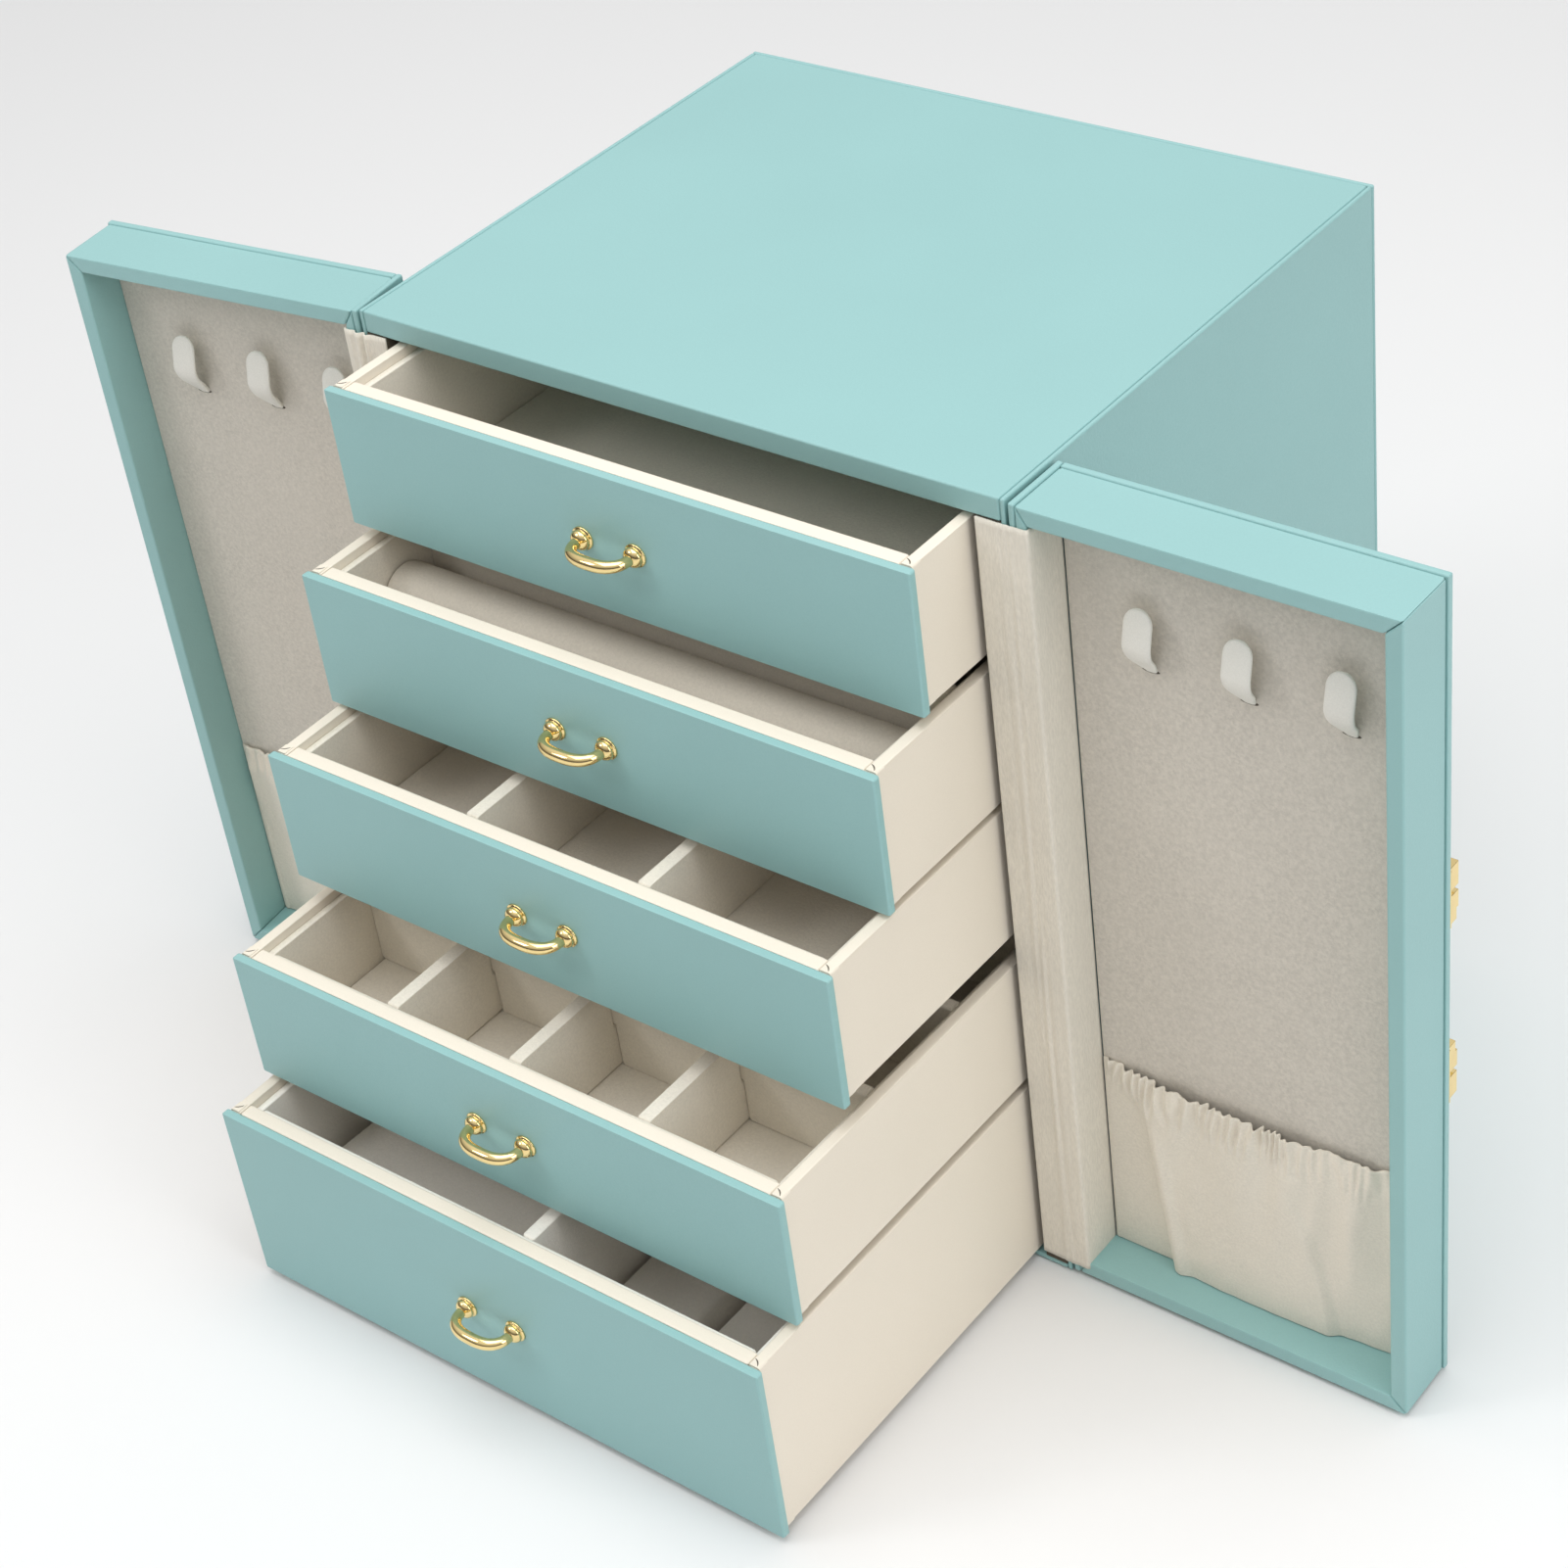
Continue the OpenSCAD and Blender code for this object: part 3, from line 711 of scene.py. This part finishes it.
def make_floor_pads():
    low, high = mm_box("drawer_5_wide_pad")
    make_pad("drawer_5_wide_cushion", low, high, "drawer_5", ["drawer_5_wide_pad"])
    low, high = mm_box("drawer_5_narrow_pads")
    inner_high = (PAD_SPLIT - PAD_GAP / 2, high.y, high.z)
    outer_low = (PAD_SPLIT + PAD_GAP / 2, low.y, low.z)
    make_pad("drawer_5_inner_cushion", low, inner_high, "drawer_5", ["drawer_5_narrow_pads"])
    make_pad("drawer_5_outer_cushion", outer_low, high, "drawer_5", [])


ROLL_SLACK = 0.5      # room left round the roll, which the cloth swells into
ROLL_PRESSURE, ROLL_MOST = 1.5, 0.9
ROLL_END_SHARE = 0.86    # size of the smaller ring in each flat end


def make_roll():
    """Bracelet roll: a padded bar with a round top and flat ends that fills the drawer's width."""
    low, high = mm_box("drawer_2_roll")
    radius = (high.y - low.y) / 2 - ROLL_SLACK
    middle = (low.y + high.y) / 2
    round_z = high.z - ROLL_SLACK - radius
    foot_z = low.z + ROLL_SLACK
    half_z = (foot_z + round_z) / 2
    section = [(middle - radius, z) for z in (foot_z, half_z, round_z)]
    arc_steps = 16
    for step in range(1, arc_steps):
        angle = math.pi * (1.0 - step / arc_steps)
        section.append((middle + radius * math.cos(angle), round_z + radius * math.sin(angle)))
    section += [(middle + radius, z) for z in (round_z, half_z, foot_z)]
    section.append((middle, foot_z))
    # rings close together at both ends keep the end edges crisp
    near_end = (0.3, 0.9, 2.6)
    length = high.x - low.x
    rings = [low.x + step for step in near_end]
    rings += [low.x + 6.0 + (length - 12.0) * step / 36 for step in range(37)]
    rings += [high.x - step for step in reversed(near_end)]
    count = len(section)
    vertices = [(x, y, z) for x in rings for y, z in section]
    faces = grid_faces(len(rings), count, close=True)
    # flat ends: a smaller ring inside each outer one
    for end, x in ((0, rings[0]), (len(rings) - 1, rings[-1])):
        start = len(vertices)
        for y, z in section:
            y, z = middle + (y - middle) * ROLL_END_SHARE, round_z + (z - round_z) * ROLL_END_SHARE
            vertices.append((x, y, z))
        for index in range(count):
            following = (index + 1) % count
            faces.append((end * count + index, end * count + following, start + following, start + index))
        faces.append(tuple(range(start, start + count)))
    piece = mesh_piece("drawer_2_bracelet_roll", vertices, faces, "suede_padding")
    piece.data.materials[0] = ROLL_SUEDE
    puff(piece, 0, ROLL_PRESSURE, ROLL_MOST, low, high)
    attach(piece, "drawer_2")
    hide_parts("drawer_2_roll")


# ---------------------------------------------------------------- doors

AXIS = {side: Vector(JOINTS[f"{side}_door_hinge"]["pos_m"]) / MM for side in SIDES}
TILT = {side: JOINTS[f"{side}_door_hinge"]["range_deg"][0] for side in SIDES}


def door_place(side):
    """Turns a point of a door's own frame into the row frame, in millimetres."""
    axis = AXIS[side]
    tilt = math.radians(TILT[side])
    sign = SIDES[side]

    def place(point):
        x, y, z = point
        turned_x = x * math.cos(tilt) - y * math.sin(tilt)
        turned_y = x * math.sin(tilt) + y * math.cos(tilt)
        return Vector((axis.x + sign * turned_x, axis.y + turned_y, z))

    return place


def right_local(node):
    """Corners of a right-door node in the door's own frame, whose axis is at x = 0, y = 0."""
    low, high = mm_box(node)
    shift = Vector((AXIS["right"].x, AXIS["right"].y, 0))
    return low - shift, high - shift


LINING_LOW, LINING_HIGH = right_local("right_door_lining")
HOOKS_LOW, HOOKS_HIGH = right_local("right_door_hooks")
POCKET_LOW, POCKET_HIGH = right_local("right_door_pocket")
CLOTH_LOW, CLOTH_HIGH = right_local("right_hinge_cloth_moving")
HOOK_W = 9.6
HOOK_XS = [HOOKS_LOW.x + HOOK_W / 2, (HOOKS_LOW.x + HOOKS_HIGH.x) / 2, HOOKS_HIGH.x - HOOK_W / 2]
HOOK_RISE = 10.0      # from the hook's lowest point up to the bend
HOOK_HALF_T = 0.8     # half its thickness
HOOK_LEAN = 2.8       # how much nearer the lining the tip is than the bend
HOOK_TAIL_HALF = 2.1  # half its width where it leaves the slit
HOOK_TIP_DROP = 1.2
HOOK_ROUND_OFF = 3.2  # how far from the corner the bend starts and ends
HOOK_ROOT = 0.5       # how far inside the lining it starts
HOOK_TAIL_GROWTH = 0.86     # share of its widening that is done before the bend
HOOK_STEM_LEAN = 0.55       # share of the lean that the stem takes; the tip takes the rest
HOOK_LEAST_HALF = 0.3       # half width at the very tip
HOOK_THIN_UNDER = 1.6       # half width under which it gets thinner
HOOK_SQUARENESS = (0.55, 0.75)      # of its section, across and through
HOOK_SLANT_STEPS, HOOK_BEND_STEPS, HOOK_STEM_STEPS, HOOK_TIP_STEPS = 8, 6, 3, 10
HOOK_SIDES = 20
SLIT_RISE = 1.0       # from the hook's lowest point up to the slit
# SLIT_HALF, SLIT_LIFT and SLIT_DEPTH size the dark plate of painted shadow at each slit
SLIT_HALF = (3.0, 0.7)
SLIT_LIFT, SLIT_DEPTH = 0.06, 0.05


def hook_path():
    """Middle line and half widths of a hook: slanted tail, bend, stem and round tip."""
    half_w = HOOK_W / 2
    front = HOOKS_LOW.y + HOOK_HALF_T
    start = Vector((0, LINING_LOW.y + HOOK_ROOT, HOOKS_LOW.z + SLIT_RISE))
    corner = Vector((0, front, HOOKS_LOW.z + HOOK_RISE))
    slant_end = corner + (start - corner).normalized() * HOOK_ROUND_OFF
    bend_end = corner + Vector((0, 0, HOOK_ROUND_OFF))
    stem_end = Vector((0, front + HOOK_LEAN * HOOK_STEM_LEAN, HOOKS_HIGH.z - HOOK_TIP_DROP - half_w))
    path, widths = [], []
    for step in range(HOOK_SLANT_STEPS + 1):
        share = step / HOOK_SLANT_STEPS
        path.append(start.lerp(slant_end, share))
        grown = HOOK_TAIL_GROWTH * smoothstep(share, 0.0, 1.0)
        widths.append(HOOK_TAIL_HALF + (half_w - HOOK_TAIL_HALF) * grown)
    tail_end = widths[-1]
    for step in range(1, HOOK_BEND_STEPS + 1):
        share = step / HOOK_BEND_STEPS
        path.append(slant_end.lerp(corner, share).lerp(corner.lerp(bend_end, share), share))
        widths.append(tail_end + (half_w - tail_end) * smoothstep(share, 0.0, 1.0))
    for step in range(1, HOOK_STEM_STEPS + 1):
        path.append(bend_end.lerp(stem_end, step / HOOK_STEM_STEPS))
        widths.append(half_w)
    for step in range(1, HOOK_TIP_STEPS + 1):
        angle = math.pi / 2 * step / HOOK_TIP_STEPS
        rise = math.sin(angle)
        path.append(stem_end + Vector((0, HOOK_LEAN * (1 - HOOK_STEM_LEAN) * rise, half_w * rise)))
        widths.append(max(HOOK_LEAST_HALF, half_w * math.cos(angle)))
    return path, widths


def hook_shape(x):
    """A flat tongue with rounded edges that comes out of its slit, bends and ends in a round tip."""
    path, widths = hook_path()
    vertices = []
    for index, centre in enumerate(path):
        before, after = path[max(index - 1, 0)], path[min(index + 1, len(path) - 1)]
        over = Vector((1, 0, 0)).cross((after - before).normalized())
        thick = HOOK_HALF_T * min(1.0, widths[index] / HOOK_THIN_UNDER)
        for turn in range(HOOK_SIDES):
            angle = 2 * math.pi * turn / HOOK_SIDES
            across = squared(math.cos(angle), HOOK_SQUARENESS[0]) * widths[index]
            lift = squared(math.sin(angle), HOOK_SQUARENESS[1]) * thick
            vertices.append(centre + Vector((x + across, 0, 0)) + over * lift)
    return vertices, capped(len(path), HOOK_SIDES)


def painted_slit_shadow(x):
    """Painted shadow: a thin dark plate on the face of the lining where a hook comes out of its slit."""
    slit_z = HOOKS_LOW.z + SLIT_RISE
    y = LINING_LOW.y - SLIT_LIFT
    steps = 16
    vertices = []
    for step in range(steps):
        angle = 2 * math.pi * step / steps
        wide, tall = SLIT_HALF[0] * math.cos(angle), SLIT_HALF[1] * math.sin(angle)
        vertices.append(Vector((x + wide, y, slit_z + tall)))
    vertices += [v + Vector((0, SLIT_DEPTH, 0)) for v in vertices]
    return vertices, plate_faces(steps)


def make_hooks(side):
    """Three hooks; both doors have the same lining, so the left door's aren't mirrored."""
    place = door_place(side)
    words = ("inner", "middle", "outer")
    xs = HOOK_XS if side == "right" else [LINING_LOW.x + LINING_HIGH.x - x for x in reversed(HOOK_XS)]
    for number, x in enumerate(xs):
        vertices, faces = hook_shape(x)
        name = f"{side}_door_{words[number]}_hook"
        piece = mesh_piece(name, [place(v) for v in vertices], faces, "hook_flock")
        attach(piece, f"{side}_door")
        if number == 0:
            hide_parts(f"{side}_door_hooks")
        # a thin dark plate at the slit: painted shadow
        vertices, faces = painted_slit_shadow(x)
        slit = mesh_piece(f"{name}_slit", [place(v) for v in vertices], faces, "board", smooth=False)
        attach(slit, f"{side}_door")


POCKET_ROOM = LINING_LOW.y - POCKET_LOW.y - 0.15    # the cloth stays inside the CAD pocket
POCKET_LEAST = 0.55


def pocket_pleats(across, up):
    """Change of the cloth's depth by its pleats, which all open downwards from the hem."""
    down = 1 - up
    # a deep pleat near the hinge, with a roll of cloth along it
    first = 0.125 + 0.095 * down ** 0.8
    inside = 1 - smoothstep(across, first - 0.008, first + 0.008)
    depth = -inside * 4.0 * smoothstep(down, 0.03, 0.3) * smoothstep(across, 0.0, 0.03)
    depth += 1.2 * mound(across - first - 0.03, 0.022) * smoothstep(down, 0.05, 0.4)
    # a soft one further out, and a low ridge beyond it
    second = 0.60 + 0.16 * down + 0.015 * math.sin(5 * up)
    beyond = smoothstep(across, second - 0.02, second + 0.02)
    depth -= beyond * 2.2 * smoothstep(down, 0.12, 0.7) * (1 - smoothstep(across, 0.97, 1.0))
    third = 0.83 - 0.03 * down
    depth += 0.8 * mound(across - third, 0.03) * smoothstep(down, 0.1, 0.5) * up
    return depth


def pocket_gathers(across, up, seed):
    """Small gathers right under the elastic, and a few long soft folds below them."""
    gather = smoothstep(up, 0.78, 0.93)
    strong = gather * (1 - 0.55 * smoothstep(across, 0.55, 0.75))
    wander = noise.noise(Vector((across * 9.0 + seed, up * 1.5, 0.0)))
    fine = math.sin(2 * math.pi * (across * 31.0 + 2.2 * wander))
    depth = 0.95 * strong * (1 - 0.5 * smoothstep(up, 0.97, 1.0)) * fine
    depth += 1.7 * strong * noise.noise(Vector((across * 46.0, up * 9.0, seed)))
    long_folds = noise.noise(Vector((across * 11.0 + 1.1 * (1 - up), up * 1.2, seed + 5.0)))
    depth += 2.2 * long_folds * smoothstep(up, 0.05, 0.7) * (1 - 0.5 * gather)
    return depth


def pocket_depth(x, z, seed):
    """How far the pocket's cloth stands off the lining, in millimetres."""
    across = (x - POCKET_LOW.x) / (POCKET_HIGH.x - POCKET_LOW.x)
    up = (z - POCKET_LOW.z) / (POCKET_HIGH.z - POCKET_LOW.z)
    side_shape = math.sin(math.pi * min(1, max(0, across))) ** 0.55
    bulge = side_shape * (0.75 + 0.25 * math.sin(math.pi * up))
    depth = 1.2 + 4.6 * bulge * (1 - 0.35 * smoothstep(up, 0.86, 1.0))
    depth += pocket_pleats(across, up)
    depth += pocket_gathers(across, up, seed)
    depth += 0.35 * noise.noise(Vector((x * 0.16, z * 0.1, seed + 9.0)))
    return min(POCKET_ROOM, max(POCKET_LEAST, depth))


POCKET_COLUMNS, POCKET_ROWS = 260, 64
POCKET_EDGE = 0.3     # from the lining's edges
HEM_DROP = 0.4        # from the CAD pocket's upper edge
HEM_SAG = 1.6
HEM_RADIUS = 0.6
HEM_TURNS = 4


def make_pocket(side):
    """Gathered pocket: one sheet glued in at the sides and the bottom, elastic in its hem."""
    place = door_place(side)
    seed = 2.3 if side == "right" else 7.9
    columns, rows = POCKET_COLUMNS, POCKET_ROWS
    back = LINING_LOW.y
    x0, x1 = LINING_LOW.x + POCKET_EDGE, LINING_HIGH.x - POCKET_EDGE
    z0, z1 = LINING_LOW.z + POCKET_EDGE, POCKET_HIGH.z - HEM_DROP
    vertices = []
    for row in range(rows + 1):
        up = row / rows
        for column in range(columns + 1):
            across = column / columns
            x = x0 + (x1 - x0) * across
            hem = 0.7 * noise.noise(Vector((across * 16.0 + seed, 0.0, 4.0)))
            hem += 0.35 * math.sin(across * 131.0)
            sag = HEM_SAG * math.sin(math.pi * across)
            z = z0 + (z1 - z0 - (sag - hem) * smoothstep(up, 0.75, 1.0)) * up
            glued = smoothstep(across, 0.0, 0.02) * smoothstep(1 - across, 0.0, 0.02)
            depth = 0.4 + (pocket_depth(x, z, seed) - 0.4) * glued
            vertices.append((x, back - depth, z))
    # the hem turns over towards the lining
    count = columns + 1
    for turn in range(1, HEM_TURNS + 1):
        angle = math.pi * turn / HEM_TURNS
        end_drop = 0.5 if turn == HEM_TURNS else 0.0
        for column in range(count):
            x, y, z = vertices[rows * count + column]
            y = min(back - 0.12, y + HEM_RADIUS * (1 - math.cos(angle)))
            vertices.append((x, y, z + HEM_RADIUS * math.sin(angle) - end_drop))
    faces = grid_faces(rows + 1 + HEM_TURNS, count)
    piece = mesh_piece(f"{side}_door_gathered_pocket", [place(v) for v in vertices], faces, "pocket_satin")
    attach(piece, f"{side}_door")
    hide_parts(f"{side}_door_pocket")


CLOTH_T = 0.8         # thickness of the CAD hinge cloth
STRIP_HALF_T = 0.3    # half the ribbon's own thickness
STRIP_BEND = 1.1      # how far before the tray's corner the bend starts
STRIP_WALL_GAP = 0.4  # from the ribbon's middle to the CAD cloth's face on the tray wall
STRIP_TUCK = 0.1      # its end stops this far off the lining
STRIP_ROWS = 150
FLAT_STEPS, BEND_STEPS, WALL_STEPS = 40, 5, 16
STRIP_SLACK = {"left": 1.0, "right": 0.28}      # the left door stands off flat, so its ribbon is looser
FOLD_TURN = 1.5       # and the ribbon's own turn this far


def strip_line(x_start, mid_y, end_y):
    """The ribbon's middle line, seen from above, with the outward direction at each point:
    flat over the cabinet and the rim, a rounded corner, then down the tray wall."""
    corner_x = CLOTH_HIGH.x
    flat_end = corner_x - STRIP_BEND
    radius = STRIP_BEND - STRIP_WALL_GAP
    line = []
    for step in range(FLAT_STEPS + 1):
        line.append((x_start + (flat_end - x_start) * step / FLAT_STEPS, mid_y, 0, -1))
    for step in range(1, BEND_STEPS + 1):
        angle = math.pi / 2 * step / BEND_STEPS
        sine, cosine = math.sin(angle), math.cos(angle)
        line.append((flat_end + radius * sine, mid_y + radius * (1 - cosine), sine, -cosine))
    wall_start = line[-1][1]
    for step in range(1, WALL_STEPS + 1):
        y = wall_start + (end_y - wall_start) * step / WALL_STEPS
        line.append((corner_x - STRIP_WALL_GAP, y, 1, 0))
    return line


def strip_lift(side, x, y, z, flat):
    """How far the ribbon stands off its middle line: slack over the fold, and a crease along it."""
    lift = 0.10 * noise.noise(Vector((x * 0.3, y * 0.3, z * 0.05)))
    if flat:
        wander = 0.5 * math.sin(z * 0.02)
        ripple = noise.noise(Vector((x * 0.55 + wander, z * 0.006, 3.0 * SIDES[side])))
        lift += STRIP_SLACK[side] * mound(x + 0.6, 4.2) * (0.55 + 1.9 * ripple)
        lift += 0.16 * (mound(x + 1.2, 0.5) - 0.8 * mound(x - 0.4, 0.5))
    return max(lift, 0.0)


def strip_faces(rows, count):
    """Faces of two sheets of points, one over the other, closed along all four edges."""
    total = rows * count
    faces = grid_faces(rows, count) + grid_faces(rows, count, offset=total)
    for row in range(rows - 1):
        for column in (0, count - 1):
            a, b = row * count + column, (row + 1) * count + column
            faces.append((a, b, b + total, a + total))
    for column in range(count - 1):
        for row in (0, rows - 1):
            a = row * count + column
            faces.append((a, a + 1, a + 1 + total, a + total))
    return faces


def make_hinge_cloth(side):
    """One strip of velvet from the cabinet's edge over the fold and the rim, down to the lining."""
    place = door_place(side)
    fixed_low, fixed_high = mm_box("right_hinge_cloth_fixed")
    x_start = fixed_low.x - AXIS["right"].x
    mid_y = CLOTH_LOW.y + CLOTH_T / 2
    end_y = LINING_LOW.y - STRIP_TUCK
    height = fixed_high.z - fixed_low.z
    line = strip_line(x_start, mid_y, end_y)
    sign = SIDES[side]
    points = []
    for face in (-1, 1):
        for row in range(STRIP_ROWS + 1):
            z = fixed_low.z + height * row / STRIP_ROWS
            for index, (x, y, out_x, out_y) in enumerate(line):
                lift = strip_lift(side, x, y, z, flat=index <= FLAT_STEPS) - face * STRIP_HALF_T
                points.append((x + out_x * lift, y + out_y * lift, z))
    # the part on the cabinet keeps the cabinet's plane; the rest turns with the door
    world = []
    for x, y, z in points:
        straight = Vector((AXIS[side].x + sign * x, AXIS[side].y + y, z))
        world.append(straight.lerp(place((x, y, z)), smoothstep(x, -FOLD_TURN, FOLD_TURN)))
    faces = strip_faces(STRIP_ROWS + 1, len(line))
    piece = mesh_piece(f"{side}_hinge_ribbon", world, faces, "hinge_velvet")
    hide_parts(f"{side}_hinge_cloth_fixed", f"{side}_hinge_cloth_moving")
    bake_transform(piece)


# ---------------------------------------------------------------- build

make_camera()
make_light()
make_floor()
for name in NODES:
    finish_cad_node(name)
for k in DRAWERS:
    make_handle(k)
    for name in SIDES:
        make_corner_wrap(k, name)
        make_tuck_shadow_plate(k, name)
make_floor_pads()
make_roll()
for side in SIDES:
    make_hooks(side)
    make_pocket(side)
    make_hinge_cloth(side)
